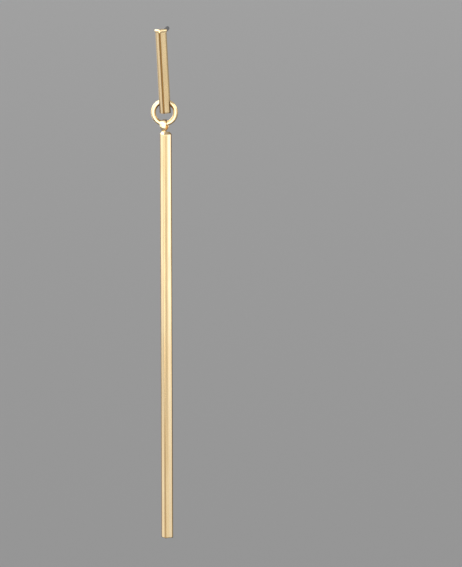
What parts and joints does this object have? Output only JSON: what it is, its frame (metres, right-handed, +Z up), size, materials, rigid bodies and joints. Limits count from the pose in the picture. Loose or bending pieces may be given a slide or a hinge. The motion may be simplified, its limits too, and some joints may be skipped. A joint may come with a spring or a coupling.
{
  "type": "bar earring",
  "caption": "Drop earring: a short square bar on a straight ear post, a jump ring in a loop behind its lower end, and a long square bar hanging from the ring.",
  "frame": {"origin": "on the ear post's axis, in the plane where the stud bar's back edge meets the ear lobe", "axes": "+Z up along the hanging earring, +Y back along the ear post, +X to the right as seen from the front"},
  "size_m": [0.0049, 0.0121, 0.0928],
  "materials": {
    "gold": "polished, gold plated",
    "post_steel": "plain, smooth"
  },
  "bodies": {
    "stud": {"stud_bar": "gold", "ear_post": "post_steel"},
    "ring": {"jump_ring": "gold"},
    "drop": {"drop_bar": "gold", "drop_eye": "gold"}
  },
  "joints": [
    {"name": "ring_sway", "type": "hinge", "parent": "stud", "child": "ring", "pos_m": [0.00043, 0.00058, -0.01423], "axis": [0, 1, 0], "range_deg": [-60, 60]},
    {"name": "drop_swing", "type": "hinge", "parent": "ring", "child": "drop", "pos_m": [0.00043, 0.00058, -0.01623], "axis": [1, 0, 0], "range_deg": [-80, 80]}
  ]
}
